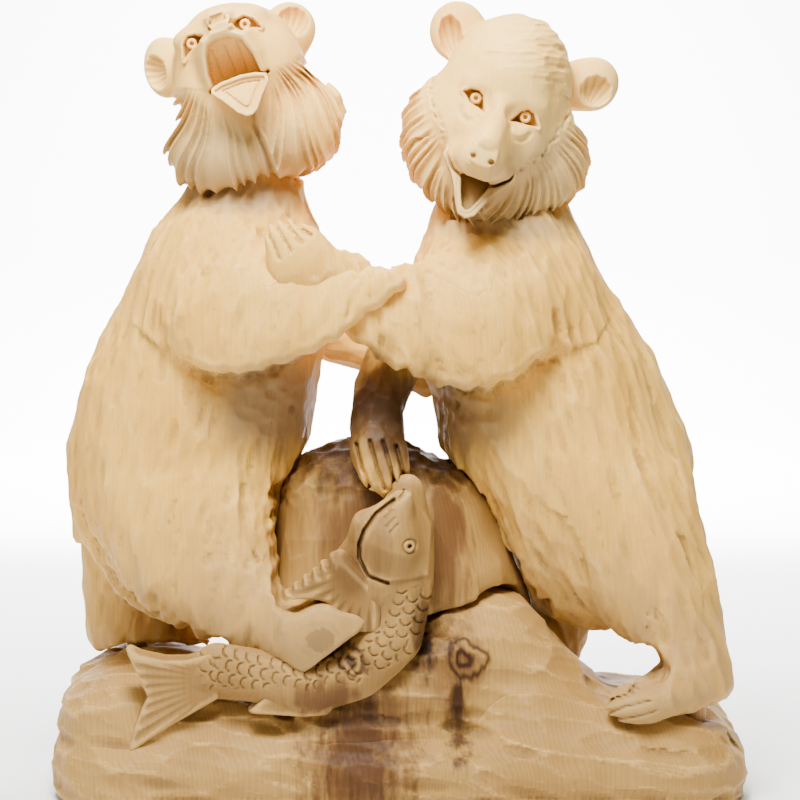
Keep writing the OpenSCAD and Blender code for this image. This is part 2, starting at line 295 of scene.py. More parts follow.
def wood(name, look):
    material = bpy.data.materials.new(name)
    material.use_nodes = True
    tree = material.node_tree
    shader = tree.nodes["Principled BSDF"]

    def add(kind, out=0, values={}, **settings):
        node = tree.nodes.new("ShaderNode" + kind)
        for key, value in settings.items():
            setattr(node, key, value)
        for key, value in values.items():
            if isinstance(value, bpy.types.NodeSocket):
                tree.links.new(value, node.inputs[key])
            else:
                node.inputs[key].default_value = value
        return node.outputs[out]

    def calc(what, a, b=0.0, c=0.0):
        return add("Math", values={0: a, 1: b, 2: c}, operation=what)

    def band(value, low, high, start=0.0, end=1.0):
        return add("MapRange", values={0: value, 1: low, 2: high, 3: start, 4: end},
                   interpolation_type="SMOOTHSTEP")

    def tint(amount, under, over, how="MIX"):
        return add("Mix", 2, {0: amount, 6: under, 7: over}, data_type="RGBA", blend_type=how)

    def stretched(scale, move=(0, 0, 0)):
        return add("Mapping", values={0: place, 1: move, 3: scale})

    def noise(where, scale, detail=2.0):
        return add("TexNoise", values={"Vector": where, "Scale": scale, "Detail": detail})

    place = add("VectorMath", values={0: add("TexCoord", 3), 1: (1000, 1000, 1000)}, operation="MULTIPLY")
    # growth rings round a pith that lies off to the right
    wobble = noise(stretched((1, 1, 0.25)), 0.02)
    bent = add("VectorMath", values={0: place, 1: look["pith"]}, operation="SUBTRACT")
    flat = add("VectorMath", values={0: bent, 1: (1, 1, 0.035)}, operation="MULTIPLY")
    far = add("VectorMath", 1, {0: flat}, operation="LENGTH")
    rings = calc("DIVIDE", calc("ADD", far, calc("MULTIPLY", wobble, look["ringBend"])), look["ringGap"])
    ring = band(calc("FRACT", rings), 0.35, 0.95)
    # long fibres, slow patches and small flecks
    fibre = noise(stretched((1, 1, 0.05)), 0.5, 3.0)
    patch = noise(stretched((1, 1, 0.55), (40, 10, 5)), 0.024, 3.0)
    fleck = noise(stretched((1, 1, 0.4), (7, 3, 9)), 0.35, 4.0)
    colour = tint(band(patch, 0.38, 0.66), look["pale"], look["warm"])
    colour = tint(calc("MULTIPLY", ring, look["ringDark"]), colour, look["ringTone"], "MULTIPLY")
    colour = tint(calc("MULTIPLY", band(fibre, 0.42, 0.72), look["fibreDark"]), colour, look["ringTone"],
                  "MULTIPLY")
    colour = tint(calc("MULTIPLY", band(fleck, 0.55, 0.8), look["fibreDark"]), colour, look["ringTone"],
                  "MULTIPLY")
    roughness = calc("ADD", band(fleck, 0.3, 0.7, look["rough"] - 0.07, look["rough"] + 0.07),
                     calc("MULTIPLY", ring, 0.05))

    def mask(spot):
        # one stain, patch of painted shade or knot: a ragged egg round a point
        off = add("VectorMath", values={0: place, 1: spot["at"]}, operation="SUBTRACT")
        near = add("VectorMath", values={0: off, 1: [1 / r for r in spot["size"]]}, operation="MULTIPLY")
        far = add("VectorMath", 1, {0: near}, operation="LENGTH")
        torn = noise(stretched((1, 1, spot.get("grain", 0.3)), spot["at"]), spot.get("tearScale", 0.09), 3.0)
        edge = calc("ADD", far, calc("MULTIPLY", calc("SUBTRACT", torn, 0.5), spot.get("ragged", 1.6)))
        return band(edge, 0.35, 1.0, spot["strength"], 0.0), edge

    sunken = add("Attribute", 2, attribute_name="sunken")
    # painted highlight: ridges painted lighter
    colour = tint(calc("MULTIPLY", band(sunken, -0.12, -0.9), look["paintedHighlight"]), colour, look["paintedHighlightTone"])
    # real stains and patches of painted shade
    for spot in look.get("stainsAndShade", ()):
        colour = tint(mask(spot)[0], colour, spot["colour"], spot.get("how", "MULTIPLY"))
    for spot in look.get("knots", ()):
        heart, edge = mask(spot)
        rim = calc("MULTIPLY", calc("SINE", calc("MULTIPLY", edge, spot.get("turns", 22))), 0.5)
        colour = tint(calc("MULTIPLY", heart, calc("ADD", rim, 0.62)), colour, spot["colour"], "MULTIPLY")
    # painted shade: hollows and creases darkened as if in shadow
    colour = tint(calc("MULTIPLY", band(sunken, 0.12, 1.0), look["paintedShade"]), colour, look["paintedShadeTone"],
                  "MULTIPLY")
    tree.links.new(colour, shader.inputs["Base Color"])
    tree.links.new(roughness, shader.inputs["Roughness"])
    shader.inputs["Specular IOR Level"].default_value = 0.18
    height = calc("ADD", calc("MULTIPLY", fibre, 0.3), calc("ADD", calc("MULTIPLY", fleck, 0.5),
            calc("MULTIPLY", ring, 0.12)))
    tree.links.new(add("Bump", values={"Strength": look["bump"], "Distance": 0.0006, "Height": height}),
                   shader.inputs["Normal"])
    return material


def stainAndShade(at, size, colour, strength, **more):
    # a coloured place, used for real stains, for painted shade and for knots: an egg of these half sizes, in
    # millimetres
    return {"at": at, "size": size, "colour": colour, "strength": strength, **more}


pine = {"pale": (0.83, 0.475, 0.085, 1), "warm": (0.76, 0.41, 0.062, 1), "ringTone": (0.78, 0.62, 0.42, 1),
        "pith": (620, 160, 0), "ringGap": 2.4, "ringBend": 26, "ringDark": 0.16, "fibreDark": 0.17,
        "rough": 0.58,
        # painted shade in hollows and creases, and a painted highlight on ridges: strength and tone of each
        "paintedShade": 0.75, "paintedShadeTone": (0.48, 0.48, 0.56, 1), "paintedHighlight": 0.3, "paintedHighlightTone": (0.93, 0.60, 0.20, 1),
        "bump": 0.25}
# the heads are paler: partly a lighter block of wood, partly painted light for their place nearer the top
# lamps
faceLook = {**pine, "pale": (0.90, 0.57, 0.15, 1), "warm": (0.87, 0.50, 0.11, 1), "ringDark": 0.1,
            "fibreDark": 0.14,
            "paintedHighlightTone": (0.96, 0.70, 0.30, 1), "paintedShadeTone": (0.50, 0.50, 0.56, 1), "bump": 0.15, "stainsAndShade": [
    # painted shade on the lower part of each ruff
    stainAndShade((-92, -44, 336), (66, 70, 40), (0.38, 0.26, 0.115, 1), 0.7, ragged=0.5, how="MIX"),
    stainAndShade((52, -44, 320), (66, 70, 36), (0.4, 0.27, 0.11, 1), 0.7, ragged=0.5, how="MIX"),
    # painted shade on the laughing bear's right cheek
    stainAndShade((88, -56, 344), (30, 50, 26), (0.5, 0.34, 0.14, 1), 0.6, ragged=0.5, how="MIX")]}
brown, umber, soot = (0.38, 0.30, 0.31, 1), (0.17, 0.12, 0.13, 1), (0.06, 0.04, 0.05, 1)
bodyLook = {**pine, "stainsAndShade": [
    # painted shade: the legs and lower trunks darker towards the bottom
    stainAndShade((0, -60, 40), (330, 260, 150), (0.3, 0.19, 0.078, 1), 0.75, ragged=0.5, how="MIX"),
    # painted shade on both necks, under the ruffs
    stainAndShade((-84, -20, 322), (46, 60, 17), (0.34, 0.23, 0.11, 1), 0.85, ragged=0.5, how="MIX"),
    stainAndShade((56, -30, 306), (52, 60, 14), (0.4, 0.27, 0.12, 1), 0.8, ragged=0.5, how="MIX"),
    # painted shade under both near sleeves
    stainAndShade((-62, -40, 210), (62, 90, 38), (0.28, 0.175, 0.085, 1), 0.85, ragged=0.6, how="MIX"),
    stainAndShade((14, -40, 202), (66, 90, 36), (0.28, 0.175, 0.085, 1), 0.8, ragged=0.6, how="MIX"),
    # painted shade: a greyer, darker spot under the laughing bear's ruff rim
    stainAndShade((84, -30, 318), (10, 30, 9), (0.6, 0.55, 0.6, 1), 0.6),
    # the far paw: partly a real dark-brown stain, partly painted shade
    stainAndShade((-8, -45, 205), (44, 60, 62), (0.16, 0.115, 0.09, 1), 0.95, ragged=1.0),
    stainAndShade((60, -60, 160), (1.6, 20, 1.6), soot, 1.0, ragged=0.4)]}
groundLook = {**pine, "pale": (0.43, 0.25, 0.065, 1), "warm": (0.37, 0.205, 0.05, 1), "ringDark": 0.3,
              "stainsAndShade": [
    stainAndShade((-22, -90, 26), (42, 90, 66), brown, 0.9, grain=0.06, tearScale=0.2, ragged=1.5),
    stainAndShade((-22, -90, 40), (22, 90, 60), brown, 0.8, grain=0.05, tearScale=0.3, ragged=1.8),
    stainAndShade((-24, -70, 150), (34, 90, 74), brown, 1.0, grain=0.08, tearScale=0.14, ragged=1.3),
    stainAndShade((24, -60, 142), (18, 90, 64), brown, 1.0, grain=0.06, tearScale=0.16, ragged=1.3),
    stainAndShade((31, -90, 50), (9, 60, 34), umber, 0.95, grain=0.08, tearScale=0.2),
    stainAndShade((12, -80, 90), (9, 40, 26), soot, 0.95, grain=0.12, tearScale=0.2, ragged=1.4),
    stainAndShade((22, -80, 74), (26, 60, 30), brown, 0.8, grain=0.3, tearScale=0.12),
    stainAndShade((0, -10, 190), (110, 110, 34), umber, 0.85, ragged=1.0)],
    "knots": [stainAndShade((33, -80, 78), (17, 50, 13), umber, 1.0, ragged=1.9, tearScale=0.07, turns=15)]}
fishLook = {**pine, "pale": (0.31, 0.175, 0.047, 1), "warm": (0.26, 0.14, 0.036, 1), "stainsAndShade": [
    stainAndShade((-10, -88, 140), (9, 30, 26), brown, 0.5),
    stainAndShade((-38, -85, 58), (24, 50, 16), brown, 0.9, grain=0.1, tearScale=0.16),
    stainAndShade((12, -80, 100), (9, 30, 22), umber, 0.8, tearScale=0.16),
    stainAndShade((-24, -85, 128), (16, 40, 30), brown, 0.7)],
    "knots": [stainAndShade((-26, -84, 80), (15, 40, 13), umber, 1.0, ragged=1.8, tearScale=0.08, turns=14)]}
bodyWood = wood("bodyWood", bodyLook)
faceWood = wood("faceWood", faceLook)
groundWood = wood("groundWood", groundLook)
fishWood = wood("fishWood", fishLook)


# trunks, legs and near arms: one body of clay per bear, divided afterwards

coat = {"step": 1.15, "melt": 3.0, "furDepth": 1.25, "facetDepth": 1.9, "bevel": 4.5, "under": 7}
roaring = {
    **coat, "nodes": ["roaring_trunk", "roaring_near_leg", "roaring_far_leg", "roaring_tail",
                      "roaring_near_arm"],
    "axisX": -86, "axisLean": 0.2, "fur": (6, 6, 19), "facet": (18, 18, 42),
    # the near side stays inside this ragged outline: haunch hem on the left, tufts on the right
    "skirt": [(-200, 340), (-20, 340), (-20, 200), (-58, 172), (-69, 163), (-66, 156), (-68, 150),
              (-66, 146), (-67.5, 140), (-65.5, 136), (-66, 129), (-64, 125), (-64.5, 119), (-62, 115),
              (-60, 110), (-54, 110), (-46, 114), (-36, 114), (-28, 110), (-20, 108), (-13, 104), (-12, 98),
              (-19, 90), (-29, 83), (-42, 73), (-50, 67), (-62, 65), (-76, 66), (-86, 74), (-96, 86),
              (-104, 84), (-110, 85), (-114, 91), (-121, 88), (-127, 89), (-130, 98), (-139, 98),
              (-144, 109), (-152, 109), (-155, 117), (-161, 122), (-166, 134), (-175, 150), (-200, 170)],
    "lumps": [((-44, -66, 92), (34, 28, 26), 12), ((-84, 0, 322), (33, 30, 26), 10)],
    "sleeve": [((-94, -38, 274), (-82, -50, 250), 25, 42), ((-82, -50, 250), (-36, -60, 255), 42, 32),
               ((-36, -60, 256), (-8, -69, 271), 31, 17)],
    "hem": [(7, 279), (3, 272), (-3, 270), (-9, 263), (-17, 260), (-21, 254), (-28, 250), (-33, 245),
            (-38, 245), (-45, 239), (-52, 238), (-59, 233), (-67, 233), (-73, 229), (-79, 230), (-85, 227),
            (-91, 229), (-99, 228), (-107, 231)],
    "sleeveTop": [(-120, 236), (-146, 256), (-146, 292), (-118, 316), (-62, 318), (-44, 298), (-28, 287),
                  (-24, 289), (-20, 287), (-16, 290), (-12, 287), (-8, 289), (-4, 285), (1, 284)],
    "calm": [(-38, 88, 26)], "scoopZone": (-106, -42, 184, 228)}
laughing = {
    **coat, "nodes": ["laughing_trunk", "laughing_near_leg", "laughing_far_leg", "laughing_tail",
                      "laughing_near_arm"],
    "axisX": 57, "axisLean": -0.28, "fur": (6, 6, 21), "facet": (18, 18, 44),
    "skirt": [(-10, 340), (200, 340), (200, 40), (150, 34), (96, 34), (96, 62), (112, 66), (132, 66),
              (138, 72), (136, 77), (130, 81), (124, 80), (119, 83), (113, 81), (108, 79), (105, 73),
              (101, 62), (96, 66), (92, 80), (94, 87), (86, 91), (83, 90), (80, 102), (74, 101), (72, 108),
              (66, 112), (64, 124), (56, 130), (50, 142), (36, 152), (-10, 200)],
    "lumps": [((55, 0, 314), (37, 30, 22), 10)],
    "sleeve": [((68, -34, 266), (42, -48, 247), 25, 46), ((42, -48, 247), (6, -54, 248), 46, 38),
               ((4, -54, 250), (-28, -59, 273), 34, 17),
               ((-28, -60, 275), (-53, -66, 289), 16, 17), ((-53, -66, 290), (-61, -68, 300), 15, 10)],
    "hem": [(72, 235), (66, 229), (60, 225), (53, 224), (47, 219), (41, 221), (34, 218), (26, 221),
            (20, 220), (13, 225), (7, 226), (3, 230), (-3, 229), (-8, 234), (-13, 235), (-17, 241),
            (-25, 244)],
    "sleeveTop": [(-40, 250), (-60, 262), (-84, 280), (-84, 320), (-50, 325), (-20, 300), (16, 312),
                  (86, 314), (110, 298), (122, 270), (104, 244)],
    "calm": [(-60, 294, 24), (118, 56, 22)], "scoopZone": (-34, 60, 182, 218),
    # claws of the hand laid on the other bear's chest
    "claws": [[(-70, 304), (-66, 296), (-63, 289)], [(-66, 308), (-61, 300), (-57, 293)],
              [(-61, 309), (-56, 303), (-51, 297)],
              [(-55, 308), (-51, 304), (-46, 301)]]}


def sculptBody(look):
    names = look["nodes"]
    clay = around(names, np.array([7, 7, 15]), look["step"])
    own = shares(clay, names)
    fine = soften(rough(clay, names[:4], close=1.3), clay, look["melt"])
    for middle, radii, soft in look["lumps"]:
        fine = join(fine, egg(clay.x, clay.y, clay.z, middle, radii), soft)
    d = fine + (soften(fine, clay, 8) - 1.2 - fine) * ramp(clay.z, 118, 160)     # haunch flows into trunk
    # the near side ends in a ragged skirt that stands a little proud of what is under it
    x, z = clay.x[:, :, 0], clay.z[0]
    skirt = outline(x, z, look["skirt"])[:, None, :]
    near = 1 - ramp(clay.y, -16, 4)
    d = join(d, d - 1.8 * np.exp(-np.abs(skirt) / 9) * near, 0.5)
    d = np.where(near > 0, -join(-d, -(skirt - 30 * (1 - near) - 0.1 * np.minimum(clay.y + 40, 0)), 1.4), d)
    # the sleeve: flat rods that melt into the chest above and end in a cut, overhanging hem
    sleeve = None
    for a, b, ra, rb in look["sleeve"]:
        tall = rod(clay.x, clay.y * 1.7, clay.z, (a[0], a[1] * 1.7, a[2]), (b[0], b[1] * 1.7, b[2]), ra, rb)
        sleeve = tall if sleeve is None else join(sleeve, tall, 8)
    sleeve = sleeve / 1.35
    cuff = outline(x, z, look["hem"] + look["sleeveTop"])[:, None, :]
    sleeve = cut(sleeve, -(cuff + np.clip(sleeve + look["bevel"], 0, look["bevel"])), 0.8)
    far = strokes(x, z, [look["hem"]])[:, None, :]
    soft = 1.6 + 22 * ramp(far, 8, 40) * (cuff < 0)
    under = look["under"] * np.exp(-far / 13) * ramp(cuff, -3,
            3) * near      # the trunk steps back below the hem
    d = join(d + under, sleeve, soft)
    clay.d = d
    where, x, y, z = clay.skin(6)
    lean = x - look["axisX"] + look["axisLean"] * (322 - z)
    a, b, c = look["fur"]
    wob = 3 * waves(x, y, z, 90, 1)
    cuts = gouges((lean + wob) / a, y / b, z / c, look["furDepth"])
    x0, x1, z0, z1 = look["scoopZone"]
    zone = ramp(x, x0, x0 + 16) * ramp(-x, -x1, -x1 + 16) * ramp(z, z0, z0 + 12) * ramp(-z, -z1,
            -z1 + 8) * (y < 0) * (sleeve[where] > 3)
    across = gouges(x / 17, y / 6, (z + 0.1 * x) / 6.2, 1.2)
    cuts = cuts * (1 - zone) + across * zone
    a, b, c = look["facet"]
    cuts += gouges((lean + 9) / a, y / b, z / c, look["facetDepth"]) + 0.6 * waves(x, y, z, 55, 3)
    # tufts cut along both hems
    hem = np.abs(outline(x, z, look["skirt"]))
    comb = gouges((x - 0.5 * z) / 4.6, y / 6, (z + 0.5 * x) / 16, 1.1)
    cuts += comb * np.exp(-hem / 8) * (y < 0)
    cuffComb = gouges((x + 0.15 * z) / 6.5, y / 8, z / 18, 1.2)
    edge = far[:, 0][where[0], where[2]]
    cuts = cuts * (0.3 + 0.7 * ramp(edge, 1, 9)) + cuffComb * np.exp(-edge / 8) * (np.abs(sleeve[where]) < 6)
    for a, b, wide in look["calm"]:
        cuts *= 0.25 + 0.75 * np.where(y < -30, ramp(np.hypot(x - a, z - b), wide - 6, wide), 1)
    d[where] += cuts
    if look.get("claws"):
        toes(clay, look["claws"], (-80, -92, 276), (-38, -60, 318), 1.3, 2.0, -60)
    return clay, own


def toes(clay, lines, low, high, width=1.5, depth=2.4, front=-20):
    # grooves cut into the near face along these strokes
    part = clay.window(low, high)
    where, x, y, z = part.skin(4.5)
    keep = y < front
    where, x, z = tuple(w[keep] for w in where), x[keep], z[keep]
    far = strokes(x, z, lines)
    part.d[where] += depth * np.maximum(0, 1 - (far / width) ** 2)
    part.d[where] -= 0.35 * np.exp(-((far - width * 1.6) / width) ** 2)


clay, own = sculptBody(roaring)
hollow = sunkenness(clay)
for name, share in zip(roaring["nodes"], own):
    settle(name + "_wood", clay, portion(clay.d, share), [name], bodyWood, hollow)
clay, own = sculptBody(laughing)
toes(clay, [[(101, 54), (109, 61), (120, 65)], [(104, 52), (113, 58), (126, 63)], [(108, 50), (118, 55),
        (131, 58)],
            [(112, 48), (122, 50), (134, 53)]], (94, -110, 36), (140, -50, 80), 1.1, 1.3)
hollow = sunkenness(clay)
for name, share in zip(laughing["nodes"], own):
    settle(name + "_wood", clay, portion(clay.d, share), [name], bodyWood, hollow)


# ground

ground = {"nodes": ["base_block", "base_mound"], "step": 1.2, "melt": 5.0, "scoop": (30, 16, 8.5),
          "depth": 1.9}
clay = around(ground["nodes"], 5, ground["step"])
d = soften(rough(clay, ground["nodes"], close=1.3), clay, ground["melt"])
d += (soften(d, clay, 9) - 0.4 - d) * ramp(clay.z, 18, 30) * ramp(-clay.z, -84, -60) * ramp(-np.abs(clay.x),
        -150, -110)
own = shares(clay, ground["nodes"])
clay.d = d
where, x, y, z = clay.skin(4.5)
a, b, c = ground["scoop"]
cuts = gouges((x + 0.3 * y) / a, y / b, (z + 0.12 * x + 3 * waves(x, y, z, 120, 2)) / c, ground["depth"])
cuts += gouges(x / 44, y / 30, z / 30, 1.4)
cuts *= ramp(z, 1, 7)
# a row of punch marks along the foot of the block
dots = np.abs(np.sin(0.9 * np.where(np.abs(x) > 170, y, x)))
cuts += 0.5 * np.exp(-((z - 8.5) / 1.1) ** 2) * dots
d[where] += cuts
d = np.maximum(d, -clay.z)   # a flat underside
for name, share in zip(ground["nodes"], own):
    settle(name + "_wood", clay, portion(d, share), [name], groundWood)

stone = {"step": 1.0, "melt": 2.6, "rimDepth": 1.7, "sideDepth": 0.9, "broadDepth": 1.6}
clay = around(["boulder"], 5, stone["step"])
clay.d = soften(rough(clay, ["boulder"]), clay, stone["melt"])
where, x, y, z = clay.skin(4.5)
rim = ramp(z + 0.25 * np.abs(x), 160, 176)
cuts = gouges(x / 9, y / 9, z / 6.5, stone["rimDepth"]) * rim
cuts += gouges(x / 16, y / 16, z / 40, stone["sideDepth"]) * (1 - rim)
cuts += gouges(x / 34, y / 34, z / 30, stone["broadDepth"])
clay.d[where] += cuts
settle("boulder_wood", clay, clay.d, ["boulder"], groundWood)


# far arms

def sculptArm(look):
    clay = around([look["node"]], 12, look["step"])
    d = soften(rough(clay, [look["node"]]), clay, look["melt"]) - look["fat"]
    for middle, radii in look["knuckles"]:
        d = join(d, egg(clay.x, clay.y, clay.z, middle, radii), 3)
    clay.d = d
    where, x, y, z = clay.skin(4.5)
    lean = math.radians(look["lean"])
    ahead, beside = x * math.cos(lean) + z * math.sin(lean), z * math.cos(lean) - x * math.sin(lean)
    cuts = gouges(ahead / look["long"], y / 6, (beside + 2 * waves(x, y, z, 60)) / 6, look["depth"])
    d[where] += cuts + gouges(ahead / 34, y / 18, beside / 16, 1.0)
    if look.get("toes"):
        toes(clay, look["toes"], *look["toeBox"], width=look["toeWidth"], depth=look["toeDepth"],
             front=look["toeFront"])
    return settle(look["node"] + "_wood", clay, clay.d, [look["node"]], bodyWood)


sculptArm({"node": "laughing_far_arm", "step": 0.8, "melt": 2.4, "fat": 0.8,
           "knuckles": [((-14, -50, 186), (12, 9, 15)), ((-10, -56, 176), (11, 6, 10))],
           "lean": 80, "long": 18, "depth": 1.0,
           "toes": [[(-23, 190), (-20, 178), (-16, 168)], [(-16, 192), (-12, 178), (-8, 167)],
                    [(-9, 192), (-5, 178), (-2, 166)],
                    [(-2, 189), (1, 178), (3, 168)]],
           "toeBox": ((-36, -80, 160), (12, -28, 200)), "toeWidth": 1.4, "toeDepth": 2.2, "toeFront": -30})
sculptArm({"node": "roaring_far_arm", "step": 1.0, "melt": 2.4, "fat": 1.0, "knuckles": [],
           "lean": -8, "long": 20, "depth": 1.3})


# fish

def course(x, z, line):
    # how far along a line in the front view each point lies, and how far to its side
    near, along, side, run = np.full(x.shape, 1e9, np.float32), np.zeros_like(x), np.zeros_like(x), 0
    for (ax, az), (bx, bz) in zip(line, line[1:]):
        ex, ez, wx, wz = bx - ax, bz - az, x - ax, z - az
        size = math.hypot(ex, ez)
        t = np.clip((wx * ex + wz * ez) / size ** 2, 0, 1)
        far = np.hypot(wx - ex * t, wz - ez * t)
        closer = far < near
        side = np.where(closer, (ex * wz - ez * wx) / size, side)
        along = np.where(closer, run + t * size, along)
        near = np.minimum(near, far)
        run += size
    return along, side


fish = {"step": 0.55, "spine": [(4, 172), (2, 140), (4, 116), (-3, 92), (-22, 70), (-47, 62), (-73, 70),
                                (-97, 75), (-116, 66)],
        "scaleGap": 6.2, "scaleRow": 6.8, "scaleDepth": 1.3, "scaleSize": 2.9, "bandAt": [56, 85, 105, 125,
                150, 170, 200], "bandSide": [4, 2, -5, -9, -7, -2, -2], "bandWide": [10, 11, 9, 7, 7, 10, 12],
        "scalesFrom": 54, "scalesTo": 198,
        "gill": [(-3, 163), (-12.5, 155.6), (-18.7, 147), (-21.5, 139), (-21.2, 132), (-16.7, 124),
                 (-6.2, 120.5)],
        "headLumps": [((3, -76, 165), (-5, -73, 140), 3.0, 14), ((-6, -72, 138), (-10, -71, 116), 15, 15)],
        "collar": [((-1, -72, 164), (-18, -68, 149), 3, 6), ((-18, -68, 149), (-25, -66, 130), 7, 8),
                   ((-25, -66, 130), (-20, -66, 116), 8, 7)], "eye": (5, 139.5)}
clay = around(["fish_body"], 6, fish["step"])
d = soften(rough(clay, ["fish_body"], band=8), clay, 2.2) - 0.6
for a, b, ra, rb in fish["headLumps"] + fish["collar"]:
    d = join(d, rod(clay.x, clay.y, clay.z, a, b, ra, rb), 6)
clay.d = d
where, x, y, z = clay.skin(3.5)
along, side = course(x, z, fish["spine"])
cuts = gouges(along / 22, y / 9, side / 9, 0.35) + 0.3 * waves(x, y, z, 40)
front = ramp(-y, 56, 62)
row = np.floor(side / fish["scaleRow"])
s = (along / fish["scaleGap"] + 0.5 * (row % 2)) % 1 * fish["scaleGap"] - 0.5 * fish["scaleGap"]
t = side - (row + 0.5) * fish["scaleRow"]
bow = np.hypot(s, t) - fish["scaleSize"]
crescent = np.maximum(0, 1 - np.abs(bow + 0.2 * (s < 0)) / 0.85) * ramp(s, -0.6, 0.8)
middle = np.interp(along, fish["bandAt"], fish["bandSide"])
shown = ramp(along, fish["scalesFrom"], fish["scalesFrom"] + 3) * ramp(-along, -fish["scalesTo"],
        -fish["scalesTo"] + 4)
shown *= ramp(np.interp(along, fish["bandAt"], fish["bandWide"]) - np.abs(side - middle), 0, 1.5)
cuts += fish["scaleDepth"] * crescent * shown * front
gill = strokes(x, z, [fish["gill"]])
cuts += front * (2.4 * np.maximum(0, 1 - (gill / 1.2) ** 2))
cheek = outline(x, z, fish["gill"] + [(16, 122), (18, 150), (6, 168)])
cuts -= 1.2 * front * ramp(-cheek, 0, 2)
ex, ez = fish["eye"]
ring = np.hypot(x - ex, z - ez)
cuts += front * (1.0 * np.exp(-((ring - 3.4) / 0.5) ** 2) + 2.6 * np.maximum(0,
        1 - (ring / 1.3) ** 2) - 0.7 * np.exp(-((ring - 2.2) / 0.7) ** 2))
nicks = strokes(x, z, [[(2, 167), (-1, 163)], [(-3, 162), (-6, 158)], [(-4, 158), (-8, 154)],
                       [(-3, 154), (-7, 150)], [(-1, 151), (-5, 147)]])
cuts += front * 0.9 * np.maximum(0, 1 - (nicks / 0.8) ** 2)
clay.d[where] += cuts
settle("fish_body_wood", clay, clay.d, ["fish_body"], fishWood)


def sculptFin(look):
    # a thin fin: its outline, fanned rays, and a face that falls towards the rim
    clay = around([look["node"]], 12, 0.6)
    shape = outline(clay.x[:, :, 0], clay.z[0], look["rim"])[:, None, :]
    x, z = clay.x, clay.z
    turn = np.arctan2(z - look["root"][1], x - look["root"][0])
    far = np.hypot(x - look["root"][0], z - look["root"][1])
    ray = np.abs((turn * look["rays"] / math.tau) % 1 - 0.5) * 2
    face = look["face"] + look["fall"] * far + look["rayDepth"] * (1 - ray ** 1.5) * ramp(far, 4, 12)
    back = look["face"] + look["thick"] + look["fall"] * far
    d = np.maximum(np.maximum(face - clay.y, clay.y - back), shape + 0.12 * (look["face"] - clay.y))
    clay.d = soften(d, clay, 0.6)
    return settle(look["node"] + "_wood", clay, clay.d, [look["node"]], fishWood)


sculptFin({"node": "fish_tail", "root": (-92, 68), "rays": 50, "face": -84, "fall": -0.05, "thick": 15,
           "rayDepth": 1.7,
           "rim": [(-97, 84), (-104, 81), (-112, 79), (-123, 79), (-136, 82), (-142, 85), (-143, 84),
                   (-138, 73), (-132, 60), (-135, 54), (-139, 44), (-142, 32), (-140, 31), (-131, 38),
                   (-118, 46), (-106, 53), (-94, 60)]})
sculptFin({"node": "fish_belly_fin", "root": (-36, 50), "rays": 80, "face": -87, "fall": -0.05, "thick": 16,
           "rayDepth": 1.5,
           "rim": [(-79, 52), (-70, 61), (-66, 62), (-46, 60), (-34, 56), (-38, 51), (-50, 50), (-64, 51)]})
sculptFin({"node": "fish_side_fin", "root": (-16, 128), "rays": 30, "face": -91, "fall": 0.1, "thick": 18,
           "rayDepth": 3.4,
           "rim": [(-59, 113), (-55, 112), (-54, 117), (-50, 116), (-49, 121), (-45, 120), (-44, 125),
                   (-40, 124), (-40, 129), (-36, 128), (-35, 133), (-31, 134.6), (-27, 131), (-18, 122),
                   (-12, 117), (-10, 104), (-12, 95), (-15, 92), (-18, 90), (-20, 95), (-24, 95), (-26, 99),
                   (-30, 100), (-31, 104), (-35, 105), (-37, 110), (-42, 112)]})


# heads: fur, face, ears and jaw are one body of clay, divided afterwards

def turned(clay, middle, roll):
    # head coordinates: across the face, depth, up the face
    c, s = math.cos(math.radians(roll)), math.sin(math.radians(roll))
    dx, dz = clay.x - middle[0], clay.z - middle[2]
    return np.broadcast_arrays(c * dx - s * dz, clay.y - middle[1], s * dx + c * dz)


def nearBy(clay, spot, reach):
    return clay.window([p - reach for p in spot], [p + reach for p in spot])


def placed(middle, roll, u, v, w):
    # a head coordinate back in the shared frame
    c, s = math.cos(math.radians(roll)), math.sin(math.radians(roll))
    return middle[0] + c * u + s * w, middle[1] + v, middle[2] - s * u + c * w


def faceDepth(clay, spot):
    # where the front of the clay lies at this place in the front view
    i = int(np.argmin(np.abs(clay.x[:, 0, 0] - spot[0])))
    k = int(np.argmin(np.abs(clay.z[0, 0] - spot[2])))
    return float(clay.y[0, np.argmax(clay.d[i, :, k] < 0), 0])


def flat(u, w, points):
    return outline(u[:, 0], w[:, 0], points)[:, None, :]


def carveEye(clay, look, one):
    spot = placed(look["middle"], look["roll"], one["at"][0], 0, one["at"][1])
    part = nearBy(clay, (spot[0], faceDepth(clay, spot), spot[2]), 12)
    deep = faceDepth(part, spot) - look["middle"][1]
    u, v, w = turned(part, look["middle"], look["roll"])
    a, b = one["at"]
    slit = flat(u, w, [(a + p, b + q) for p, q in one["lids"]])
    lidBand = np.abs(slit - 0.9) - 0.6
    d = join(part.d, np.maximum(np.maximum(lidBand, deep - 0.1 + 0.1 * (np.abs(w - b) + np.abs(u - a)) - v),
                                v - deep - 6), 0.8)
    d = cut(d, np.maximum(slit + 0.1 * (v - deep), v - deep - 6), 0.35)
    ring = np.hypot(u - a, w - b)
    iris = np.maximum(np.maximum(ring - look["iris"], deep + 0.5 + 0.10 * ring ** 2 - v), v - deep - 8)
    ball = np.maximum(egg(u, v, w, (a, deep + 10.8, b), (6.4, 5.6, 6.4)), slit - 2)
    d = np.minimum(d, join(iris, ball, 0.6))
    part.d[...] = cut(d, np.maximum(ring - look["pupil"], v - deep - 4), 0.3)


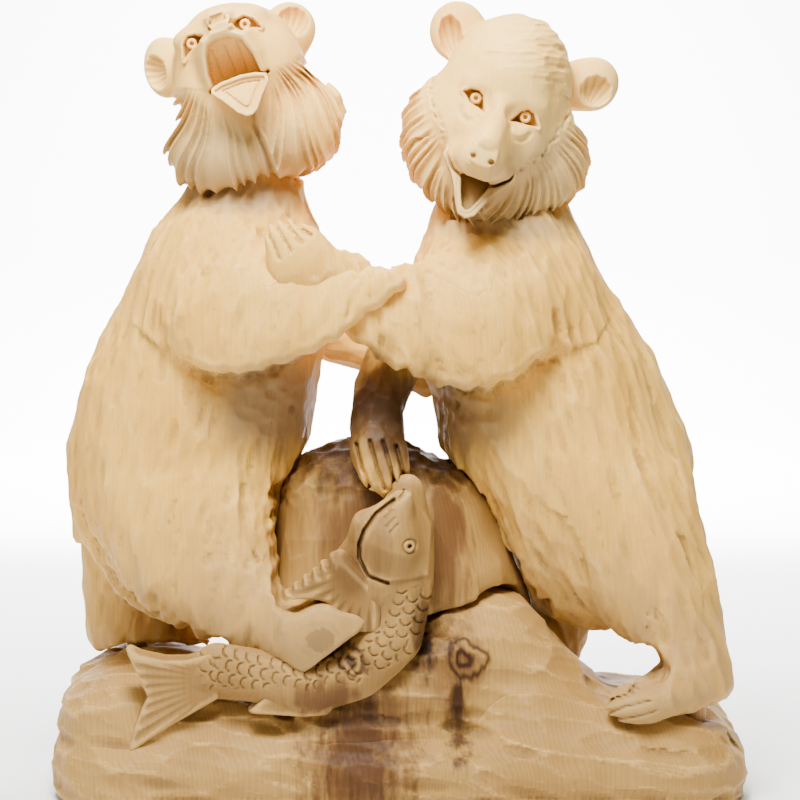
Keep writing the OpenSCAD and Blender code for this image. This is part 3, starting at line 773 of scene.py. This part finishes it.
def carveEar(clay, one):
    part = nearBy(clay, one["middle"], 26)
    u, v, w = turned(part, one["middle"], one["roll"])
    d = join(egg(u, v, w, (0, 0, 0), one["size"]), egg(u, v, w, one["stem"], one["stemSize"]), 8)
    bowl = egg(u, v, w, one["bowl"], one["bowlSize"])
    fan = np.arctan2(w - one["fan"][1], u - one["fan"][0])
    comb = np.abs((fan * one["lines"] / math.tau) % 1 - 0.5) * 2
    d = cut(d, bowl - 0.8 * (1 - comb ** 1.4), 0.9)
    part.d[...] = np.minimum(part.d, join(part.d, d, 4.0))
    part.d[...] = cut(part.d, bowl - 0.8 * (1 - comb ** 1.4), 0.9)


def sculptHead(look):
    bear = look["bear"]
    parts = [bear + end for end in ("_head", "_ruff", "_jaw", "_left_ear", "_right_ear")]
    clay = around(parts, 6, look["step"])
    own = shares(clay, parts)
    u, v, w = turned(clay, look["middle"], look["roll"])
    d = soften(rough(clay, [bear + "_ruff"]), clay, 3.5) + 1.0
    for middle, radii in look["fur"]:
        d = join(d, egg(clay.x, clay.y, clay.z, middle, radii), 9)
    limit = outline(clay.x[:, :, 0], clay.z[0], look["furRim"])[:, None, :] + 0.03 * np.abs(clay.y + 22)
    d = cut(d, -limit, 3)
    face = egg(u, v, w, *look["skull"])
    for middle, radii, soft in look["lumps"]:
        face = join(face, egg(u, v, w, middle, radii), soft)
    for a, b, ra, rb, soft in look["snout"]:
        face = join(face, rod(u, v, w, a, b, ra, rb), soft)
    for middle, radii, soft in look["hollows"]:
        face = cut(face, egg(u, v, w, middle, radii), soft)
    clay.d = join(d, face, look["flow"])
    for one in look["ears"]:
        carveEar(clay, one)
    where, x, y, z = clay.skin(7)
    lu, lv, lw = u[where], v[where], w[where]
    border = outline(x, z, look["faceRim"])
    cuts = gouges(lu / 10, lv / 10, lw / 14, 0.3)
    # locks of fur: round scoops that meet in sharp ridges, deeper towards the rim
    rim = -outline(x, z, look["furRim"])
    for lock in look["locks"]:
        a, b = lock["from"]
        far = np.hypot(x - a, z - b) + 0.3 * np.maximum(0, y + 34)
        turn = np.arctan2(z - b, x - a) + lock["swirl"] * far + 0.06 * waves(x, y, z, 44, lock["count"])
        turn = turn * lock["count"] / math.tau
        turn = turn + 0.2 * np.sin(1.9 * turn) + 0.2 * np.sin(0.83 * turn + 2)      # uneven widths
        comb, second = turn % 1, (turn * 0.5) % 1
        scoop = (1 - (2 * comb - 1) ** 2) * (0.7 + 0.6 * mood[np.floor(turn).astype(int) & 255]) + 0.4 * (1
                - (2 * second - 1) ** 2)
        grown = 0.55 + 0.45 * ramp(-rim, -26, -3)
        cuts += lock["share"](x, z) * look["furDepth"] * scoop * ramp(border, 0,
                9) * grown * (1 - 0.6 * ramp(y, -24, -2))
    for line, side, depth, fade in look["steps"]:
        off = course(x, z, line)[1] * side
        edge = strokes(x, z, [line])
        cuts += np.where((y < -10) & (edge < np.abs(off) + 3), depth * ramp(off, -1.4,
                1.4) * np.exp(-np.maximum(0, off) / fade), 0)
    # small nicks where the face meets the fur, and combed hair on the crown
    cuts += look["nick"] * np.exp(-((border + 1.2) / 1.8) ** 2) * gouges(x / 2.6, y / 5, z / 2.6,
            0.8) * (y < -12)
    lift, high, lean = look["crown"]
    crown = ramp(lw + lift * lv, high, high + 12) * (border < 4)
    cuts += crown * gouges((lu + lean * lw) / 13, lv / 13, (lw - lean * lu) / 3.6, 0.95)
    for line, width, depth in look["creases"]:
        cuts += np.where(lv < 0, depth * np.maximum(0, 1 - (strokes(lu, lw, [line]) / width) ** 2), 0)
    for one in look["ears"]:
        near = np.hypot(x - one["middle"][0], z - one["middle"][2])
        cuts *= ramp(near, max(one["size"]) - 1, max(one["size"]) + 4)
    clay.d[where] += cuts
    look["mouth"](clay, look)
    for one in look["eyes"]:
        carveEye(clay, look, one)
    hollow = sunkenness(clay, 1.8)
    for name, share in zip(parts, own):
        settle(name + "_wood", clay, portion(clay.d, share), [name], faceWood, hollow)


def laughMouth(clay, look):
    part = nearBy(clay, (50, -62, 330), 34)
    u, v, w = turned(part, look["middle"], look["roll"])
    # the lower jaw: a thick rim round a hollow, leaning forward
    lip = flat(u, w, [(-17, -33), (0, -37), (19, -33), (17, -37), (12, -44), (9, -52), (6.5, -58),
                      (3, -60.5), (-1, -59.5), (-4, -55), (-8, -47), (-13, -39)])
    slope = v + 13 - 0.62 * (w + 46)
    d = join(part.d, np.maximum(lip - 0.5, np.maximum(-slope, slope - 26)), 2.2)
    hole = flat(u, w, [(-9.5, -33), (10, -33), (9, -42), (6, -50), (3.6, -55.5), (1.4, -57), (-1, -55.5),
                       (-4, -49)])
    d = cut(d, np.maximum(hole, slope - 10 - 0.2 * (w + 60)), 0.8)
    d = cut(d, np.maximum(np.abs(hole - 1.9) - 0.3, slope - 0.8), 0.3)
    # the upper lip hangs over it
    for a, b, ra, rb in (((-3, -19, -31), (-14, -1, -31), 7.6, 4.6), ((4, -19, -31), (15, -1, -31), 7.6,
            4.6)):
        d = join(d, rod(u, v, w, a, b, ra, rb), 7)
    for line in ([(-19, -28), (-18, -33), (-12, -39), (-5, -41.5), (0, -41)], [(20, -28.5), (18, -34),
            (12, -39.5), (6, -42), (0, -41)]):
        far = strokes(u[:, 0], w[:, 0], [line])[:, None, :]
        d = cut(d, np.maximum(far - 0.8, v + 3), 0.6)
    for a in (-19, 20.5):
        d = cut(d, rod(u, v, w, (a, -40, -29), (a, -4, -29), 1.5, 1.5), 0.8)
    # nose leather: a plate that faces up and forward, nostrils at its lower corners
    shape = flat(u, w, [(-6.4, -22.6), (6.4, -22.6), (7.4, -27.6), (5.4, -32.4), (2, -33.4), (-2, -33.4),
                        (-5.4, -32.4), (-7.4, -27.6)])
    face = -36.4 + np.maximum(1.05 * (w + 27.4), -0.3 * (w + 27.4)) + 0.03 * u ** 2
    d = join(d, np.maximum(np.maximum(shape, v + 20), face - v), 0.8)
    for side in (-1, 1):
        d = cut(d, rod(u, v, w, (side * 4.2, -40, -30.4), (side * 5.2, -30, -29.4), 1.8, 1.5), 0.4)
        d = cut(d, rod(u, v, w, (side * 5.2, -38, -29.6), (side * 8.4, -31, -27.6), 1.1, 0.8), 0.4)
    part.d[...] = cut(d, rod(u, v, w, (0, -39, -33.5), (0, -29, -40.5), 0.6, 0.6), 0.8)


def roarMouth(clay, look):
    part = nearBy(clay, (-90, -52, 388), 36)
    u, v, w = turned(part, look["middle"], look["roll"])
    lips = [(-13.6, -27), (-13.6, -19.7), (-11.2, -9.9), (-8, -3.4), (-2.6, -0.8), (5.7, -1.4),
            (12.6, -6.2), (15.8, -16), (16.9, -27)]
    edge = -24 + 0.5 * (-2 - w)     # the lips lean back towards the corners of the mouth
    arch = flat(u, w, lips + [(2, -34)])
    d = join(part.d, np.maximum(arch - 0.34 * (v - edge), np.maximum(edge - v, v - 16)), 2.6)
    room = flat(u, w, [(-12.2, -30), (-12.0, -19.5), (-9.6, -10.4), (-6.8, -5), (-2.2, -2.9), (5.2, -3.4),
                       (11.3, -7.6), (14.2, -16.6), (15.2, -30)])
    palate = edge + 4.4 + 0.5 * (-2 - w) + 6 * (1 - ((u - 1.8) / 13.5) ** 2)
    d = cut(d, np.maximum(room + 0.05 * (v - edge), v - palate), 0.5)
    for a in (-5.5, 1.6, 8):
        d = cut(d, np.maximum(np.maximum(np.abs(u - a) - 0.5, np.abs(w + 15) - 8), v - palate - 0.9), 0.6)
    # dark slot at the back of the mouth and a hole at each corner
    slot = strokes(u[:, 0], w[:, 0], [[(-13, -27.5), (-6, -25), (3, -24.4), (12, -26.2), (16, -28.5)]])[:,
            None, :]
    d = cut(d, np.maximum(slot - 1.5, v - 16), 0.5)
    # jaw plate with a rim round the tongue, pointing down and forward
    plate = flat(u, w, [(-13.4, -26.8), (-7, -25), (3.9, -24.6), (12, -26), (17.8, -28.6), (17.4, -32.6),
                        (11.6, -39), (6.8, -45), (3.6, -47), (0.4, -46.8), (-3.6, -43.4), (-9, -35),
                        (-13.6, -29)])
    front = -13 + 0.34 * (w + 26) - 0.010 * (u - 2) ** 2
    d = join(d, np.maximum(plate + 0.15 * (v - front), np.maximum(front - v, v - 14)), 0.8)
    d = cut(d, np.maximum(plate + 2.0, v - front - 1.8), 0.4)
    d = cut(d, np.maximum(np.abs(plate + 4.6) - 0.5, v - front - 2.9), 0.3)
    for a in (-13.8, 18.2):
        d = cut(d, rod(u, v, w, (a, -30, -27.5), (a, 4, -27.5), 1.0, 1.0), 0.8)
    # nose: a low block over the arch, with slots for nostrils
    block = np.maximum(flat(u, w, [(-3.6, -1.5), (-2.2, 8.2), (0, 9.4), (6.6, 9.2), (8.6, 7.6),
                                   (9.6, -1)]) - 0.15 * (v + 20), np.maximum(-24.5 - 0.12 * w - v, v - 8))
    d = join(d, block, 2.2)
    dish = flat(u, w, [(-2.8, 2.6), (-1.4, 8.2), (7.2, 8.2), (8.8, 2.8), (3, 4.2)])
    d = cut(d, np.maximum(dish, v + 22.6), 0.4)
    for side in (-1, 1):
        d = cut(d, rod(u, v, w, (3 + side * 4.4, -27, 2.6), (3 + side * 5.2, -18, 7.4), 1.0, 1.5), 0.3)
        d = cut(d, rod(u, v, w, (3 + side * 5.2, -26, 1.2), (3 + side * 6.4, -14, 3.4), 0.8, 1.1), 0.3)
    part.d[...] = d


laughingHead = {
    "bear": "laughing", "step": 0.6, "middle": (53, -55, 368), "roll": 21, "flow": 9, "iris": 3.0,
    "pupil": 1.25,
    "skull": ((0, 38, 11), (35, 38, 43)), "furDepth": 2.9, "nick": 1.5, "crown": (0.1, 14, 0.45),
    "lumps": [((0, 22, -6), (31, 27, 30), 14), ((-15, 14, -17), (16, 17, 17), 9), ((15, 14, -17),
            (16, 17, 17), 9),
              ((-13, 3, 8), (9, 6, 4.5), 7), ((13, 3, 8), (9, 6, 4.5), 7), ((-11, -1, -7.5), (6, 5, 3.8),
                      3), ((11, -1, -7.5), (6, 5, 3.8), 3),
              ((0, 6, 20), (17, 12, 15), 10)],
    "snout": [((0, 8, -10), (0, -21, -27.5), 15, 10.5, 10), ((0, -3, -2), (0, -26, -22), 6.8, 6.4, 4)],
    "hollows": [((-12.5, -10, -1), (8.5, 7, 6.5), 4), ((12.5, -10, -1), (8.5, 7, 6.5), 4)],
    "fur": [((77, -22, 338), (27, 22, 31)), ((25, -22, 350), (26, 22, 34)), ((46, -30, 324), (29, 20, 25))],
    "furRim": [(20, 392), (10, 388), (7, 383), (1, 379), (0, 372), (-2, 367), (-1, 358), (-2, 348),
               (1, 338), (5, 329), (14, 320), (24, 311), (40, 301), (46, 299), (60, 304), (73, 306),
               (82, 313), (91, 316), (96, 322), (101, 326), (103, 334), (105, 344), (104, 349), (100, 355),
               (97, 364), (125, 372), (125, 435), (10, 435)],
    "faceRim": [(17, 392), (15, 378), (16, 368), (20, 358), (23, 350), (24, 342), (28, 330), (40, 320),
                (54, 326), (64, 334), (76, 343), (84, 352), (90, 362), (96, 372), (100, 395), (80, 440),
                (30, 440)],
    "locks": [{"from": (52, 353), "count": 50, "swirl": -0.02, "share": lambda x, z: ramp(44 - x, -2, 2)},
              {"from": (55, 353), "count": 48, "swirl": 0.02, "share": lambda x, z: ramp(x - 44, -2, 2)}],
    "steps": [([(14, 394), (14, 378), (15, 368), (19, 358), (24, 349), (23, 340)], -1, 0.9, 6),
              ([(64, 334), (76, 342), (85, 351), (92, 362), (97, 372)], -1, 0.5, 6)],
    "creases": [([(-19.5, -7.5), (-18.6, -10), (-16.5, -12), (-13.8, -12.6), (-11, -11.8), (-9, -9.6)], 2.0,
                 0.75),
                ([(8, -8.5), (9.6, -11), (12.4, -12.8), (15.4, -12.6), (17.8, -10.8), (19, -8)], 2.0, 0.75)],
    "mouth": laughMouth, "eyes": [
        {"at": (-13.9, 0), "lids": [(-7.8, 1.0), (-4.5, 4.0), (0, 4.4), (3.0, 2.6), (6.4, -5.4),
                                    (2.4, -4.2), (-2.4, -3.4), (-5, -1)]},
        {"at": (13.9, 0), "lids": [(-6.6, -4.6), (-3.2, 2.2), (0, 4.3), (3.6, 3.4), (8.4, -2.6),
                                   (4.4, -3.4), (0, -3.8)]}],
    "ears": [{"middle": (31.5, -4, 411), "roll": -8, "size": (15.4, 9.5, 16.6), "stem": (9, 6, -10),
              "stemSize": (13, 10, 13),
              "bowl": (-4.6, -9.5, -3.5), "bowlSize": (6.0, 8, 12.5), "fan": (-3, -19), "lines": 34},
             {"middle": (105, -4, 382.5), "roll": 30, "size": (13.8, 9.5, 15), "stem": (-9, 6, -6),
              "stemSize": (12, 10, 14),
              "bowl": (3.6, -9.5, -3.4), "bowlSize": (8.4, 8, 8.4), "fan": (4, -18), "lines": 30}]}
roaringHead = {
    "bear": "roaring", "step": 0.6, "middle": (-96, -45, 407), "roll": -19.6, "flow": 14, "iris": 2.9,
    "pupil": 1.2,
    "skull": ((3, 33, -17), (35, 37, 34)), "furDepth": 3.0, "nick": 0.0, "crown": (0.0, 9, 0.1),
    "lumps": [((2, 14, -12), (27, 22, 24), 12), ((-14, 12, -26), (16, 16, 18), 9), ((20, 12, -24),
            (16, 16, 18), 9),
              ((-15, 7, 4), (9, 6, 5), 8), ((17, 7, 4), (9, 6, 5), 8), ((-20, 6, -30), (10, 10, 14), 9)],
    "snout": [((2, 12, -12), (2.4, -8, -7), 18, 12, 9)],
    "hollows": [((-14, -9, 0), (7, 6, 5.5), 3), ((16.5, -9, 0), (7, 6, 5.5), 3)],
    "fur": [((-58, -20, 360), (31, 26, 30)), ((-99, -20, 350), (31, 26, 34)), ((-88, -28, 352),
            (24, 20, 26))],
    "furRim": [(-127, 384), (-122, 376), (-121, 365), (-125, 355), (-129, 350), (-128, 343), (-125, 335),
               (-120, 327), (-109, 321.5), (-98, 320.5), (-85, 323), (-75, 327), (-66, 328), (-58, 330),
               (-46, 333), (-40, 338), (-35, 341), (-31, 350), (-30, 357), (-25, 364), (-29, 372),
               (-30, 378), (-37, 384), (-50, 390), (-54, 400), (-35, 440), (-150, 440), (-150, 384)],
    "faceRim": [(-135, 392), (-122, 382), (-112, 380), (-103, 376), (-96, 370), (-84, 360), (-76, 364),
                (-72, 376), (-66, 390), (-58, 394), (-50, 402), (-60, 440), (-150, 440)],
    "locks": [{"from": (-98, 396), "count": 60, "swirl": 0.0, "share": lambda x,
               z: ramp(-(x + 71 - 0.27 * (356 - z)), -1, 1)},
              {"from": (-84, 400), "count": 66, "swirl": 0.010, "share": lambda x,
               z: ramp(x + 71 - 0.27 * (356 - z), -1, 1)}],
    "steps": [([(-77, 368), (-76, 360), (-74, 352), (-69, 342), (-63, 324)], -1, 3.0, 16)],
    "creases": [([(-19, -9), (-17, -6.5), (-12, -5.5)], 1.1, 0.5), ([(11, -5.5), (16, -7), (21, -9)], 1.1,
            0.5)],
    "mouth": roarMouth, "eyes": [
        {"at": (-14.9, 0), "lids": [(-6.8, -7.0), (-4.4, 1.0), (-1, 4.3), (3.0, 4.3), (6.8, 1.0),
                                    (2.4, -2.0), (-2, -3.6)]},
        {"at": (15.1, 0), "lids": [(-6.8, 1.6), (-3.4, 3.9), (0.8, 4.3), (5, 1.4), (7.6, -4.6), (3, -3.0),
                                   (-3, -2.6)]}],
    "ears": [{"middle": (-128, -4, 391.5), "roll": -8, "size": (11.2, 9.5, 16.5), "stem": (9, 6, -1),
              "stemSize": (11, 10, 15),
              "bowl": (-5.4, -9.5, -2.5), "bowlSize": (5.8, 8, 9.6), "fan": (10, -3), "lines": 30},
             {"middle": (-60, 0, 413), "roll": -30, "size": (14, 9.5, 14.4), "stem": (-9, 6, -7),
              "stemSize": (12, 10, 13),
              "bowl": (4.2, -9.5, 2), "bowlSize": (8.4, 7.5, 8.4), "fan": (-8, -9), "lines": 30}]}
sculptHead(laughingHead)
sculptHead(roaringHead)

dowelLook = {**pine, "pale": (0.55, 0.33, 0.13, 1), "warm": (0.48, 0.27, 0.10, 1), "ringDark": 0.3}
dowelWood = wood("dowelWood", dowelLook)
for name in ("neck_dowels", "leg_dowels"):
    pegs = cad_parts[name]
    pegs.data.materials.clear()
    pegs.data.materials.append(dowelWood)


# floor, lights, camera

def area(name, place, aim, size, power, tone=(1, 1, 1), spread=180):
    light = bpy.data.lights.new(name, "AREA")
    light.energy, light.size, light.color, light.spread = power, size, tone, math.radians(spread)
    lamp = bpy.data.objects.new(name, light)
    lamp.location = place
    lamp.rotation_euler = (Vector(aim) - Vector(place)).to_track_quat("-Z", "Y").to_euler()
    bpy.context.scene.collection.objects.link(lamp)


studio = {"floor": (0.92, 0.92, 0.92, 1), "skyLight": 0.08, "key": 5, "fill": 0.35, "top": 18, "wall": 190,
          "back": 52}
sweep = [(-6.0, 0.0), (1.2, 0.0), (1.7, 0.06), (2.1, 0.25), (2.35, 0.6), (2.45, 1.1), (2.5, 4.0)]
spots = [(side * 6, y, z) for y, z in sweep for side in (-1, 1)]
sheet = bpy.data.meshes.new("floor")
sheet.from_pydata(spots, [], [(2 * i, 2 * i + 1, 2 * i + 3, 2 * i + 2) for i in range(len(sweep) - 1)])
floor = bpy.data.objects.new("floor", sheet)
bpy.context.scene.collection.objects.link(floor)
for face in sheet.polygons:
    face.use_smooth = True
plain = bpy.data.materials.new("paleFloor")
plain.use_nodes = True
plain.node_tree.nodes["Principled BSDF"].inputs["Base Color"].default_value = studio["floor"]
plain.node_tree.nodes["Principled BSDF"].inputs["Roughness"].default_value = 0.9
sheet.materials.append(plain)

world = bpy.data.worlds.new("studio")
world.use_nodes = True
world.node_tree.nodes["Background"].inputs[0].default_value = (1, 1, 1, 1)
world.node_tree.nodes["Background"].inputs[1].default_value = studio["skyLight"]
bpy.context.scene.world = world
area("key", (-0.45, -0.8, 0.95), (0, 0, 0.28), 0.45, studio["key"], (1, 0.98, 0.95))
area("fill", (1.0, -1.0, 0.5), (0, 0, 0.2), 1.0, studio["fill"])
area("top", (-0.08, -0.4, 0.86), (0, 0, 0.25), 0.32, studio["top"])
area("wall", (0, 1.5, 1.0), (0, 2.6, 0.3), 1.6, studio["wall"])
area("back", (0, 1.25, 1.5), (0, 1.05, 0), 1.6, studio["back"], spread=68)

lens = bpy.data.cameras.new("camera")
lens.lens, lens.sensor_width = 122.7, 36
camera = bpy.data.objects.new("camera", lens)
tilt = math.radians(4)
camera.location = (0, -1.5 * math.cos(tilt), 0.21 + 1.5 * math.sin(tilt))
camera.rotation_euler = (math.radians(90) - tilt, 0, 0)
bpy.context.scene.collection.objects.link(camera)
bpy.context.scene.camera = camera

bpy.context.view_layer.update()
say("done")
